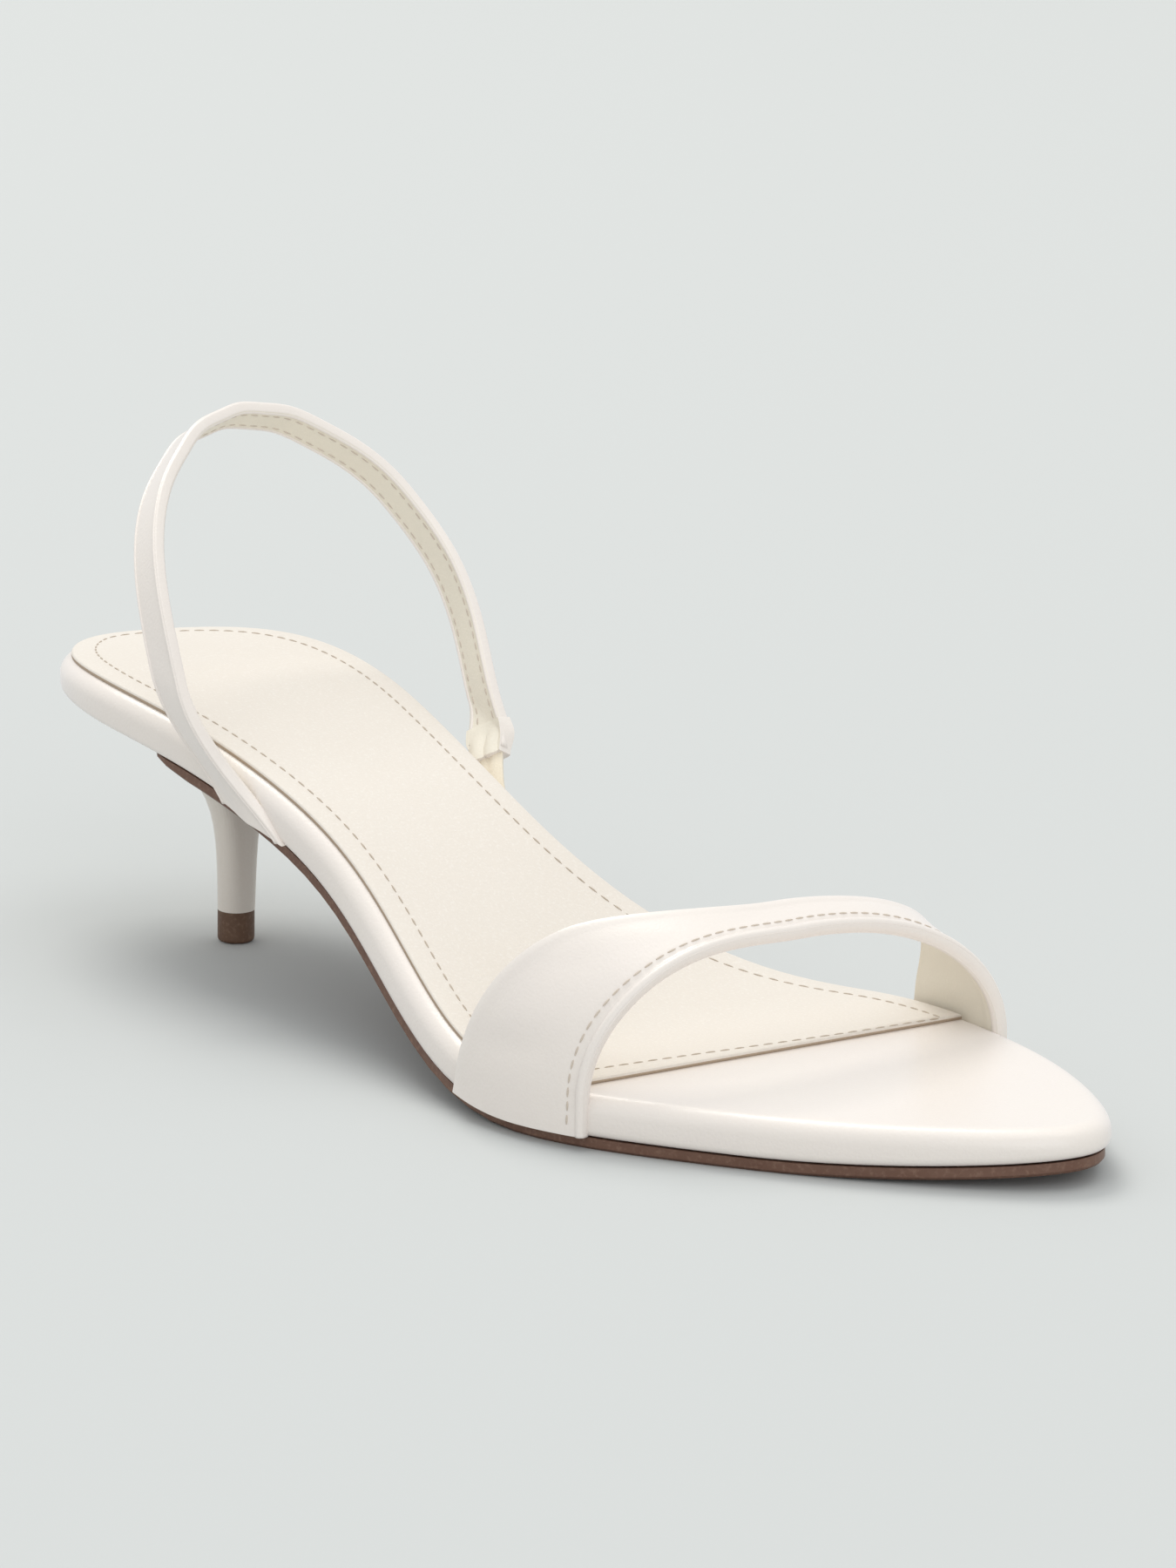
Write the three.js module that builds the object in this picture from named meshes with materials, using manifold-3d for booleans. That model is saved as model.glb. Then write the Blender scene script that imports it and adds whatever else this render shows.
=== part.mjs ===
// A slingback sandal on a kitten heel, for the right foot, in millimetres.
// The origin is the middle of the heel tip's flat bottom. +X points to the toe, +Y to the inner side
// of the foot and +Z up. The shoe stands on its heel tip and on the flat tread under the ball.
import * as THREE from "three";
import { mergeVertices } from "three/addons/utils/BufferGeometryUtils.js";
import Module from "manifold-3d";

const wasm = await Module();
wasm.setup();
const { clamp, lerp, smoothstep, degToRad } = THREE.MathUtils;

// The last. Lengths are level, from the back of the seat to the tip of the toe.
const footLength = 236;
const ballWidth = 82;
const seatWidth = 53.5;
const seatHeight = 48;
const toeInward = 9.5;
const toeSpring = 3.2;
const treadStart = 158;
const treadEnd = 192;

// The sole
const footbedThickness = 6.8;
const footbedEdgeRadius = 3;
const footbedUnderRadius = 1.4;
const toeThinning = 1.9;
const seatThinning = 1.2;
const outsoleThickness = 2;
const outsoleInset = 1;
const outsoleCorner = 7;
const outsoleSkive = 1.2;
const sockThickness = 0.8;
const sockInset = 2.2;
const sockFront = 172;
const sockSkew = 0.17;
const sockCorner = 7;

// The heel and its tip
const heelSetback = 39.6;
const heelTopBack = 33.5;
const heelTopWidth = 46;
const heelBreast = 4.2;
const tipRadius = 3.3;
const tipHeight = 5.8;
const tipEdgeRadius = 0.7;

// The straps
const strapThickness = 2;
const strapBite = 1;
const strapTab = 9;
const strapBend = 1.8;
const vampRise = 24;
const vampSlope = 0.4;
const slingWidth = 7;
const slingReach = 75.8;
const slingLoopWidth = 71;
const slingTilt = 53.7;
const slingBow = 3;
const slingBandTilt = 55;
const slingShift = -1.3;
const slingLean = 8;
const slingApexBack = -9.3;
const slingApexHeight = 92.8;
const slingLift = -2.5;
const slingHug = -8;
const slingFreeOuter = 12;
const slingFreeInner = 2;
const elasticWidth = 6.2;
const elasticThickness = 1.2;

// Curved pieces that touch meet this far apart
const clearance = 0.3;

// Half-widths of the footbed on each side of its centre line, as shares of the guide width
const outlineTable = [
  { along: 0.02, outer: 0.205, inner: 0.21 },
  { along: 0.07, outer: 0.385, inner: 0.405 },
  { along: 0.15, outer: 0.495, inner: 0.502 },
  { along: 0.25, outer: 0.499, inner: 0.444 },
  { along: 0.35, outer: 0.451, inner: 0.298 },
  { along: 0.44, outer: 0.42, inner: 0.24 },
  { along: 0.52, outer: 0.443, inner: 0.289 },
  { along: 0.6, outer: 0.488, inner: 0.406 },
  { along: 0.68, outer: 0.498, inner: 0.5 },
  { along: 0.77, outer: 0.421, inner: 0.488 },
  { along: 0.86, outer: 0.311, inner: 0.394 },
  { along: 0.94, outer: 0.188, inner: 0.238 },
  { along: 0.985, outer: 0.092, inner: 0.106 },
];

// Top of the footbed behind the tread, as a share of the climb from the tread to the seat's back
const archTable = [
  { along: 0, rise: 1 },
  { along: 0.1, rise: 1.042 },
  { along: 0.2, rise: 0.99 },
  { along: 0.3, rise: 0.865 },
  { along: 0.4, rise: 0.657 },
  { along: 0.47, rise: 0.429 },
  { along: 0.54, rise: 0.19 },
  { along: 0.61, rise: 0.034 },
];

// Growth of the heel's sections from the tip (0) to the heel's top (1), over the same climb
const heelTable = [
  { up: 0, back: 0, side: 0, breast: 0, flatness: 2.1 },
  { up: 0.22, back: 0.007, side: 0.005, breast: 0.15, flatness: 2.4 },
  { up: 0.44, back: 0.037, side: 0.036, breast: 0.3, flatness: 2.7 },
  { up: 0.617, back: 0.123, side: 0.138, breast: 0.45, flatness: 3.2 },
  { up: 0.717, back: 0.233, side: 0.272, breast: 0.6, flatness: 3.8 },
  { up: 0.805, back: 0.4, side: 0.451, breast: 0.7, flatness: 4.6 },
  { up: 0.89, back: 0.617, side: 0.682, breast: 0.85, flatness: 5.6 },
  { up: 0.96, back: 0.833, side: 0.872, breast: 0.95, flatness: 6.5 },
  { up: 1.03, back: 1, side: 1, breast: 1, flatness: 7 },
  { up: 1.1, back: 1.02, side: 1.02, breast: 1, flatness: 7 },
];

// Edges of the vamp strap, over its arch from the outer side (0) to the inner one (1), as shares of
// the foot's length
const vampTable = [
  { over: 0, back: 0.606, front: 0.722 },
  { over: 0.2, back: 0.642, front: 0.735 },
  { over: 0.4, back: 0.71, front: 0.754 },
  { over: 0.5, back: 0.73, front: 0.765 },
  { over: 0.6, back: 0.739, front: 0.774 },
  { over: 0.8, back: 0.728, front: 0.789 },
  { over: 1, back: 0.702, front: 0.796 },
];

// The sling strap's middle line, from under the footbed to the back of the loop, for its outer and
// its inner half. Reach is the way up its incline and ahead a shift to the toe, as shares of the
// loop's reach. Outer and inner are the places across, as shares of the loop's half-width.
const slingTable = [
  { reach: -0.35, outer: 0.97, outerAhead: 0.17, inner: 0.6, innerAhead: 0.3 },
  { reach: -0.16, outer: 0.98, outerAhead: 0.06, inner: 0.68, innerAhead: 0.2 },
  { reach: 0.03, outer: 0.99, outerAhead: 0.01, inner: 0.76, innerAhead: 0.125 },
  { reach: 0.22, outer: 1, outerAhead: 0, inner: 0.8, innerAhead: 0.075 },
  { reach: 0.38, outer: 0.98, outerAhead: 0, inner: 0.88, innerAhead: 0.045 },
  { reach: 0.55, outer: 0.93, outerAhead: 0, inner: 0.9, innerAhead: 0.02 },
  { reach: 0.68, outer: 0.85, outerAhead: 0, inner: 0.84, innerAhead: 0 },
  { reach: 0.78, outer: 0.74, outerAhead: 0, inner: 0.74, innerAhead: 0 },
  { reach: 0.86, outer: 0.6, outerAhead: 0, inner: 0.6, innerAhead: 0 },
  { reach: 0.92, outer: 0.45, outerAhead: 0, inner: 0.45, innerAhead: 0 },
  { reach: 0.97, outer: 0.29, outerAhead: 0, inner: 0.29, innerAhead: 0 },
  { reach: 0.99, outer: 0.13, outerAhead: 0, inner: 0.13, innerAhead: 0 },
];

// Smooth curve through the values at the knots. A missing end slope leaves that end unbent.
function makeSpline(knots, values, startSlope = null, endSlope = null) {
  const last = knots.length - 1;
  const bend = new Array(last + 1).fill(0);
  const carry = new Array(last + 1).fill(0);
  const step = (i) => knots[i + 1] - knots[i];
  const slope = (i) => (values[i + 1] - values[i]) / step(i);
  if (startSlope !== null) {
    bend[0] = -0.5;
    carry[0] = (3 / step(0)) * (slope(0) - startSlope);
  }
  for (let i = 1; i < last; i++) {
    const share = step(i - 1) / (step(i - 1) + step(i));
    const pivot = share * bend[i - 1] + 2;
    bend[i] = (share - 1) / pivot;
    const turn = (6 * (slope(i) - slope(i - 1))) / (step(i - 1) + step(i));
    carry[i] = (turn - share * carry[i - 1]) / pivot;
  }
  let endBend = 0;
  let endCarry = 0;
  if (endSlope !== null) {
    endBend = 0.5;
    endCarry = (3 / step(last - 1)) * (endSlope - slope(last - 1));
  }
  bend[last] = (endCarry - endBend * carry[last - 1]) / (endBend * bend[last - 1] + 1);
  for (let i = last - 1; i >= 0; i--) bend[i] = bend[i] * bend[i + 1] + carry[i];
  return (x) => {
    let i = 0;
    while (i < last - 1 && x > knots[i + 1]) i++;
    const b = (x - knots[i]) / step(i);
    const a = 1 - b;
    const curve = ((a ** 3 - a) * bend[i] + (b ** 3 - b) * bend[i + 1]) * (step(i) ** 2 / 6);
    return a * values[i] + b * values[i + 1] + curve;
  };
}

// Outline of the footbed seen from above. It is smoothed over the angle of a half circle on the
// foot's length, so that the seat and the toe close round.
const guideWidth = (along) => lerp(seatWidth, ballWidth, smoothstep(along, 0.2, 0.6));
const angleAt = (along) => Math.acos(1 - 2 * clamp(along, 0, 1));
const outlineKnots = [0, ...outlineTable.map((row) => angleAt(row.along)), Math.PI];
const halfWidth = {};
for (const side of ["outer", "inner"]) {
  const widths = outlineTable.map((row) => row[side] * guideWidth(row.along));
  halfWidth[side] = makeSpline(outlineKnots, [0, ...widths, 0]);
}
const centreLine = (along) => toeInward * clamp((along - 0.6) / 0.4, 0, 1) ** 2;

function edgeAt(x, side) {
  const along = clamp(x / footLength, 0, 1);
  const half = Math.max(halfWidth[side](angleAt(along)), 0);
  return centreLine(along) + (side === "outer" ? -half : half);
}

// Profile of the footbed's top, and the thickness of the footbed under it
const soleStack = footbedThickness + clearance + outsoleThickness;
const archClimb = seatHeight - soleStack;
const archKnots = [...archTable.map((row) => row.along * footLength), treadStart];
const archHeights = [...archTable.map((row) => soleStack + row.rise * archClimb), soleStack];
const archSpline = makeSpline(archKnots, archHeights, null, 0);
const vampMiddle = 0.745 * footLength;
const toeShare = (x) => Math.max(x - treadEnd, 0) / (footLength - treadEnd);

function thicknessAt(x) {
  const seatShare = 1 - smoothstep(x / footLength, 0, 0.15);
  return footbedThickness - toeThinning * toeShare(x) ** 2 - seatThinning * seatShare;
}

function topAt(x) {
  if (x < treadStart) return archSpline(x);
  return soleStack + (toeSpring - toeThinning) * toeShare(x) ** 2;
}

// A point at a depth under the footbed's top, measured square to the top's profile
function solePoint(x, y, depth) {
  const reach = 0.5;
  const slope = (topAt(x + reach) - topAt(x - reach)) / (2 * reach);
  const size = Math.hypot(1, slope);
  const alongX = (slope / size) * depth;
  return new THREE.Vector3(x + alongX - heelSetback, y, topAt(x) - depth / size);
}

// A closed geometry without the triangles that have no area
function closedGeometry(points, triangles) {
  const geometry = new THREE.BufferGeometry();
  const flat = points.flatMap((p) => [p.x, p.y, p.z]);
  geometry.setAttribute("position", new THREE.Float32BufferAttribute(flat, 3));
  geometry.setIndex(triangles);
  const merged = mergeVertices(geometry, 1e-3);
  const index = merged.index.array;
  const kept = [];
  for (let i = 0; i < index.length; i += 3) {
    const [a, b, c] = [index[i], index[i + 1], index[i + 2]];
    if (a !== b && b !== c && c !== a) kept.push(a, b, c);
  }
  merged.setIndex(kept);
  return merged;
}

function solidFrom(geometry) {
  const vertProperties = geometry.attributes.position.array;
  const triVerts = new Uint32Array(geometry.index.array);
  return new wasm.Manifold(new wasm.Mesh({ numProp: 3, vertProperties, triVerts }));
}

function geometryFrom(solid) {
  const mesh = solid.getMesh();
  const geometry = new THREE.BufferGeometry();
  geometry.setAttribute("position", new THREE.Float32BufferAttribute(mesh.vertProperties, 3));
  geometry.setIndex([...mesh.triVerts]);
  geometry.computeVertexNormals();
  return geometry;
}

// Joins rings of points, listed the same way round, into a closed solid. Each ring is a list of
// rows across the piece, whose rim is walked round; the first and last rings are closed by caps.
function skinGrids(grids) {
  const points = grids.flat(2);
  const triangles = [];
  const rows = grids[0].length;
  const across = grids[0][0].length;
  const id = (k, i, j) => (k * rows + i) * across + j;
  const quad = (a, b, c, d) => triangles.push(a, b, c, a, c, d);
  const last = grids.length - 1;
  for (let i = 0; i < rows - 1; i++) {
    for (let j = 0; j < across - 1; j++) {
      quad(id(0, i, j), id(0, i + 1, j), id(0, i + 1, j + 1), id(0, i, j + 1));
      quad(id(last, i, j), id(last, i, j + 1), id(last, i + 1, j + 1), id(last, i + 1, j));
    }
  }
  const rim = [];
  for (let i = 0; i < rows; i++) rim.push([i, 0]);
  for (let j = 1; j < across - 1; j++) rim.push([rows - 1, j]);
  for (let i = rows - 1; i >= 0; i--) rim.push([i, across - 1]);
  for (let j = across - 2; j > 0; j--) rim.push([0, j]);
  for (let k = 0; k < last; k++) {
    rim.forEach(([i, j], n) => {
      const [nextI, nextJ] = rim[(n + 1) % rim.length];
      quad(id(k, i, j), id(k + 1, i, j), id(k + 1, nextI, nextJ), id(k, nextI, nextJ));
    });
  }
  return solidFrom(closedGeometry(points, triangles));
}

// How far a corner of this radius draws in, at a distance from the end that it rounds
function cornerDraw(distance, radius) {
  if (distance >= radius) return 0;
  return radius - Math.sqrt(radius ** 2 - (radius - distance) ** 2);
}

// Stations along the foot, closer together at the rounded ends. Each has an outer and an inner end
// in plan. An open start or finish is square or skewed, with rounded corners.
function footStations({ count, from = 0, to = footLength, inset = 0, skew = 0, corner = 0 }) {
  const openStart = from > 0;
  const openFinish = to < footLength;
  const places = [];
  for (let i = 0; i <= count; i++) {
    const angle = lerp(angleAt(from / footLength), angleAt(to / footLength), i / count);
    places.push((footLength * (1 - Math.cos(angle))) / 2);
  }
  const arc = [1, 0.62, 0.3, 0.08, 0].map((share) => share * corner);
  const inner = places.filter((x) => {
    const free = (end, open) => !open || Math.abs(x - end) > corner * 1.1 + 0.01;
    return free(from, openStart) && free(to, openFinish);
  });
  const starts = openStart ? arc.map((d) => from + d).reverse() : [];
  const finishes = openFinish ? arc.map((d) => to - d) : [];
  const all = [...starts, ...inner, ...finishes];
  const spots = all.map((place) => {
    const lean = skew * smoothstep(place, to - 60, to);
    const spot = { place };
    for (const side of ["outer", "inner"]) {
      let y = edgeAt(place, side);
      for (let turn = 0; turn < 4; turn++) y = edgeAt(place + lean * y, side);
      spot[side] = new THREE.Vector2(place + lean * y, y);
    }
    return spot;
  });
  const last = spots.length - 1;
  const moved = (i, side) => {
    const across = side === "outer" ? "inner" : "outer";
    const before = i > 0 ? spots[i - 1][side] : spots[openStart ? 0 : 1][openStart ? side : across];
    const ahead = openFinish ? spots[last][side] : spots[last - 1][across];
    const after = i < last ? spots[i + 1][side] : ahead;
    const along = after.clone().sub(before).normalize();
    const inward = new THREE.Vector2(-along.y, along.x);
    if (side === "inner") inward.negate();
    return spots[i][side].clone().addScaledVector(inward, inset);
  };
  return spots.map((spot, i) => {
    const outer = moved(i, "outer");
    const innerEnd = moved(i, "inner");
    const half = outer.distanceTo(innerEnd) / 2;
    let draw = 0;
    if (openStart) draw += cornerDraw(spot.place - from, corner);
    if (openFinish) draw += cornerDraw(to - spot.place, corner);
    const share = draw / (2 * half || 1);
    return { outer: outer.clone().lerp(innerEnd, share), inner: innerEnd.clone().lerp(outer, share) };
  });
}

// A closed layer of the sole. Each ring has its stations and the depth of its points under the
// footbed's top. The first ring is the layer's upper face and the last one its lower face.
function layerShape(rings, across) {
  const grids = rings.map((ring) =>
    ring.stations.map((station) => {
      const row = [];
      for (let j = 0; j <= across; j++) {
        const plan = station.outer.clone().lerp(station.inner, j / across);
        row.push(solePoint(plan.x, plan.y, ring.depth(plan.x)));
      }
      return row;
    }),
  );
  return skinGrids(grids);
}

// The wrapped footbed, with a rounded upper edge. Spare is added all round, as a neighbour's room.
function footbedShape(spare) {
  const rings = [];
  const stations = (inset) => footStations({ count: 56, inset: inset - spare });
  for (const turn of [0, 22.5, 45, 67.5, 90]) {
    const inset = footbedEdgeRadius * (1 - Math.sin(degToRad(turn)));
    const depth = footbedEdgeRadius * (1 - Math.cos(degToRad(turn)));
    rings.push({ stations: stations(inset), depth: () => depth - spare });
  }
  for (const turn of [0, 45, 90]) {
    const inset = footbedUnderRadius * (1 - Math.cos(degToRad(turn)));
    const lift = footbedUnderRadius * (1 - Math.sin(degToRad(turn)));
    rings.push({ stations: stations(inset), depth: (x) => thicknessAt(x) - lift + spare });
  }
  return layerShape(rings, 4);
}

// The place along the footbed's top under which, at this depth, a point lies at a level place
function placeOver(level, depth) {
  let x = level + heelSetback;
  for (let turn = 0; turn < 6; turn++) x += level - solePoint(x, 0, depth).x;
  return x;
}

// The outsole, from the toe to the heel's breast, skived thin at its rear end
function outsoleShape() {
  const from = placeOver(heelBreast + clearance, soleStack);
  const edge = 0.5;
  const stations = (inset) => {
    return footStations({ count: 50, from, inset: outsoleInset + inset, corner: outsoleCorner });
  };
  const upper = (x) => thicknessAt(x) + clearance;
  const wall = (x) => outsoleThickness - outsoleSkive * (1 - smoothstep(x, from, from + 2 * outsoleCorner));
  const rings = [
    { stations: stations(0), depth: upper },
    { stations: stations(0), depth: (x) => upper(x) + wall(x) - edge },
    { stations: stations(edge), depth: (x) => upper(x) + wall(x) },
  ];
  return layerShape(rings, 4);
}

// The sock, a thin lining that lies on the footbed and ends at a skewed front edge
function sockShape() {
  const edge = 0.4;
  const stations = (inset) => {
    const plan = { count: 50, to: sockFront, skew: sockSkew, corner: sockCorner };
    return footStations({ ...plan, inset: sockInset + inset });
  };
  const lower = -clearance;
  const rings = [
    { stations: stations(edge), depth: () => lower - sockThickness },
    { stations: stations(0), depth: () => lower - sockThickness + edge },
    { stations: stations(0), depth: () => lower },
  ];
  return layerShape(rings, 4);
}

// The covered heel: a loft of rounded sections with a flat breast, under the seat
function heelShape() {
  const foot = tipHeight;
  const climb = seatHeight - footbedThickness - foot;
  const knots = heelTable.map((row) => row.up);
  const column = (name) => makeSpline(knots, heelTable.map((row) => row[name]));
  const growth = { back: column("back"), side: column("side"), breast: column("breast") };
  const flatness = column("flatness");
  const levels = 22;
  const around = 36;
  const points = [];
  const triangles = [];
  const top = knots[knots.length - 1];
  for (let k = 0; k <= levels; k++) {
    const up = top * Math.sin((k / levels) * (Math.PI / 2)) ** 0.9;
    const back = lerp(tipRadius, heelTopBack, growth.back(up));
    const side = lerp(tipRadius, heelTopWidth / 2, growth.side(up));
    const breast = lerp(tipRadius, heelBreast, growth.breast(up));
    const power = 2 / flatness(up);
    for (let n = 0; n < around; n++) {
      const angle = (2 * Math.PI * n) / around;
      const c = Math.cos(angle);
      const s = Math.sin(angle);
      const x = c < 0 ? back * c : breast * c ** power;
      const y = side * Math.sign(s) * Math.abs(s) ** (c < 0 ? 1 : power);
      points.push(new THREE.Vector3(x, y, foot + up * climb));
    }
  }
  const id = (k, n) => k * around + (n % around);
  for (let k = 0; k < levels; k++) {
    for (let n = 0; n < around; n++) {
      triangles.push(id(k, n), id(k, n + 1), id(k + 1, n + 1));
      triangles.push(id(k, n), id(k + 1, n + 1), id(k + 1, n));
    }
  }
  const low = points.push(new THREE.Vector3(0, 0, foot)) - 1;
  const high = points.push(new THREE.Vector3(-heelTopBack / 2, 0, foot + top * climb)) - 1;
  for (let n = 0; n < around; n++) {
    triangles.push(low, id(0, n + 1), id(0, n));
    triangles.push(high, id(levels, n), id(levels, n + 1));
  }
  return solidFrom(closedGeometry(points, triangles)).subtract(footbedShape(clearance));
}

// The heel tip, turned, with a rounded lower edge
function tipGeometry() {
  const profile = [new THREE.Vector2(0, 0)];
  for (const turn of [0, 30, 60, 90]) {
    const out = tipRadius - tipEdgeRadius * (1 - Math.sin(degToRad(turn)));
    profile.push(new THREE.Vector2(out, tipEdgeRadius * (1 - Math.cos(degToRad(turn)))));
  }
  profile.push(new THREE.Vector2(tipRadius, tipHeight), new THREE.Vector2(0, tipHeight));
  const turned = new THREE.LatheGeometry(profile, 36);
  turned.rotateX(Math.PI / 2);
  return turned;
}

// A strap: a closed band whose middle surface is spot(u, v), with v from -1 to 1 across it. Its edges
// are rounded. The list of u runs from one end to the other.
function strapShape(spot, stops, across, thickness) {
  const half = thickness / 2;
  const reach = 0.004;
  const grid = (u, v) => {
    const ahead = spot(Math.min(u + reach, 1), v);
    const behind = spot(Math.max(u - reach, 0), v);
    const alongU = ahead.sub(behind);
    const alongV = spot(u, Math.min(v + 0.05, 1)).sub(spot(u, Math.max(v - 0.05, -1)));
    const out = alongU.clone().cross(alongV).normalize();
    return { middle: spot(u, v), out, wide: alongV.normalize() };
  };
  const rings = stops.map((u) => {
    const loop = [];
    const turns = [45, 0, -45];
    for (let j = 0; j <= across; j++) {
      const place = grid(u, -1 + (2 * j) / across);
      loop.push(place.middle.clone().addScaledVector(place.out, half));
    }
    const edge = (v, sign, angle) => {
      const place = grid(u, v);
      const side = place.wide.multiplyScalar(sign * half * Math.cos(degToRad(angle)));
      return place.middle.clone().add(side).addScaledVector(place.out, half * Math.sin(degToRad(angle)));
    };
    for (const angle of turns) loop.push(edge(1, 1, angle));
    for (let j = across; j >= 0; j--) {
      const place = grid(u, -1 + (2 * j) / across);
      loop.push(place.middle.clone().addScaledVector(place.out, -half));
    }
    for (const angle of [...turns].reverse()) loop.push(edge(-1, -1, angle));
    return loop;
  });
  const points = rings.flat();
  const triangles = [];
  const around = rings[0].length;
  const id = (k, n) => k * around + (n % around);
  for (let k = 0; k < rings.length - 1; k++) {
    for (let n = 0; n < around; n++) {
      triangles.push(id(k, n), id(k + 1, n), id(k + 1, n + 1));
      triangles.push(id(k, n), id(k + 1, n + 1), id(k, n + 1));
    }
  }
  // Each end is closed between the upper and the lower side of the band
  const close = (k, flip) => {
    const low = (j) => 2 * across + 4 - j;
    const faces = [];
    for (let j = 0; j < across; j++) {
      faces.push([j, j + 1, low(j + 1)], [j, low(j + 1), low(j)]);
    }
    faces.push([across, across + 1, across + 2], [across, across + 2, across + 3]);
    faces.push([across, across + 3, across + 4]);
    const back = 2 * across + 5;
    faces.push([0, low(0), back], [0, back, back + 1], [0, back + 1, back + 2]);
    for (const [a, b, c] of faces) {
      if (flip) triangles.push(id(k, a), id(k, c), id(k, b));
      else triangles.push(id(k, a), id(k, b), id(k, c));
    }
  };
  close(0, false);
  close(rings.length - 1, true);
  return closedGeometry(points, triangles);
}

// Middle of the vamp strap, with tabs turned under the footbed, sides, and an arch over the toes.
// The tabs reach this much further where the footbed needs room for them.
function vampSpot(spare) {
  const knots = vampTable.map((row) => row.over);
  const backEdge = makeSpline(knots, vampTable.map((row) => row.back * footLength), 0, 0);
  const frontEdge = makeSpline(knots, vampTable.map((row) => row.front * footLength), 0, 0);
  const ends = 0.14;
  const tabShare = 0.35;
  const bendShare = 0.75;
  const outset = strapThickness / 2 - strapBite;
  return (u, v) => {
    const over = clamp((u - ends) / (1 - 2 * ends), 0, 1);
    const trim = strapThickness / 2;
    const x = lerp(backEdge(over) + trim, frontEdge(over) - trim, (v + 1) / 2);
    const outer = edgeAt(x, "outer") - outset;
    const inner = edgeAt(x, "inner") + outset;
    const low = strapThickness / 2 - thicknessAt(x);
    const shoulder = -footbedEdgeRadius / 2;
    const end = Math.min(u, 1 - u) / ends;
    const edge = u < 0.5 ? outer : inner;
    const inward = u < 0.5 ? 1 : -1;
    if (end < tabShare) {
      const run = lerp(strapTab + spare, strapBend, end / tabShare);
      return solePoint(x, edge + inward * run, -low);
    }
    if (end < bendShare) {
      const angle = ((end - tabShare) / (bendShare - tabShare)) * (Math.PI / 2);
      const y = edge + inward * strapBend * (1 - Math.sin(angle));
      return solePoint(x, y, -low - strapBend * (1 - Math.cos(angle)));
    }
    if (end < 1) {
      const up = lerp(low + strapBend, shoulder, (end - bendShare) / (1 - bendShare));
      return solePoint(x, edge, -up);
    }
    const c = Math.cos(Math.PI * over);
    const s = Math.sin(Math.PI * over);
    const rise = vampRise + vampSlope * (vampMiddle - x) - shoulder;
    const y = (c > 0 ? outer : inner) * Math.abs(c) ** 0.72;
    return solePoint(x, y, -shoulder - rise * s ** 0.93);
  };
}

// Middle of the sling strap and of the elastic that carries it on. It climbs from the footbed's side
// on an incline, rounds the back of the loop and comes down on the other side. Near the footbed it
// draws in to the footbed's edge.
function slingSpot(width, thickness) {
  const tilt = degToRad(slingTilt);
  const bandTilt = degToRad(slingBandTilt);
  const knot = (reach, side, shift) => {
    const climbed = clamp(reach, 0, 1);
    const down = (1 - reach) * slingReach;
    const bow = slingBow * Math.sin(Math.PI * climbed);
    const ahead = shift * slingReach;
    const x = slingApexBack + down * Math.cos(tilt) + bow * Math.sin(tilt) + ahead;
    const y = slingShift + (side * slingLoopWidth) / 2 + slingLean * climbed;
    return new THREE.Vector3(x, y, slingApexHeight - down * Math.sin(tilt) + bow * Math.cos(tilt));
  };
  const outerKnots = slingTable.map((row) => knot(row.reach, -row.outer, row.outerAhead));
  const innerKnots = slingTable.map((row) => knot(row.reach, row.inner, row.innerAhead)).reverse();
  const knots = [...outerKnots, knot(1, 0, 0), ...innerKnots];
  const path = new THREE.CatmullRomCurve3(knots);
  const wide = new THREE.Vector3(Math.sin(bandTilt), 0, Math.cos(bandTilt));
  return (u, v) => {
    const spot = path.getPointAt(u).addScaledVector(wide, (v * (width - thickness)) / 2);
    const place = spot.x + heelSetback;
    const above = spot.z - topAt(place);
    const side = spot.y < 0 ? "outer" : "inner";
    const free = side === "outer" ? slingFreeOuter : slingFreeInner;
    spot.y = lerp(edgeAt(place, side), spot.y, smoothstep(above, slingHug, free));
    return spot;
  };
}

// Share of the sling's path at which the strap ends and the elastic begins, beside the footbed
function slingEndShare() {
  const spot = slingSpot(slingWidth, strapThickness);
  const step = 0.002;
  let share = 1;
  while (spot(share, 0).z - topAt(spot(share, 0).x + heelSetback) < slingLift) share -= step;
  return share;
}

// A stretch of the sling's path as a band, with spare room all round
function slingShape(from, to, count, width, thickness, spare) {
  const stops = Array.from({ length: count + 1 }, (_, i) => lerp(from, to, i / count));
  const broad = width + 2 * spare;
  const thick = thickness + 2 * spare;
  return solidFrom(strapShape(slingSpot(broad, thick), stops, 3, thick));
}

// The space under the footbed, which cuts the ends of the sling strap and of the elastic flush
function underShape() {
  const outset = 12;
  const drop = 30;
  const stations = footStations({ count: 20, from: 45, to: 135, inset: -outset });
  const rings = [
    { stations, depth: (x) => thicknessAt(x) },
    { stations, depth: () => drop },
  ];
  return layerShape(rings, 4);
}

const sandal = new THREE.Group();
sandal.name = "kitten_heel_sandal";

function addPiece(name, geometry, color, roughness) {
  const material = new THREE.MeshStandardMaterial({ color, roughness, metalness: 0 });
  const mesh = new THREE.Mesh(geometry, material);
  mesh.name = name;
  sandal.add(mesh);
}

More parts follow.
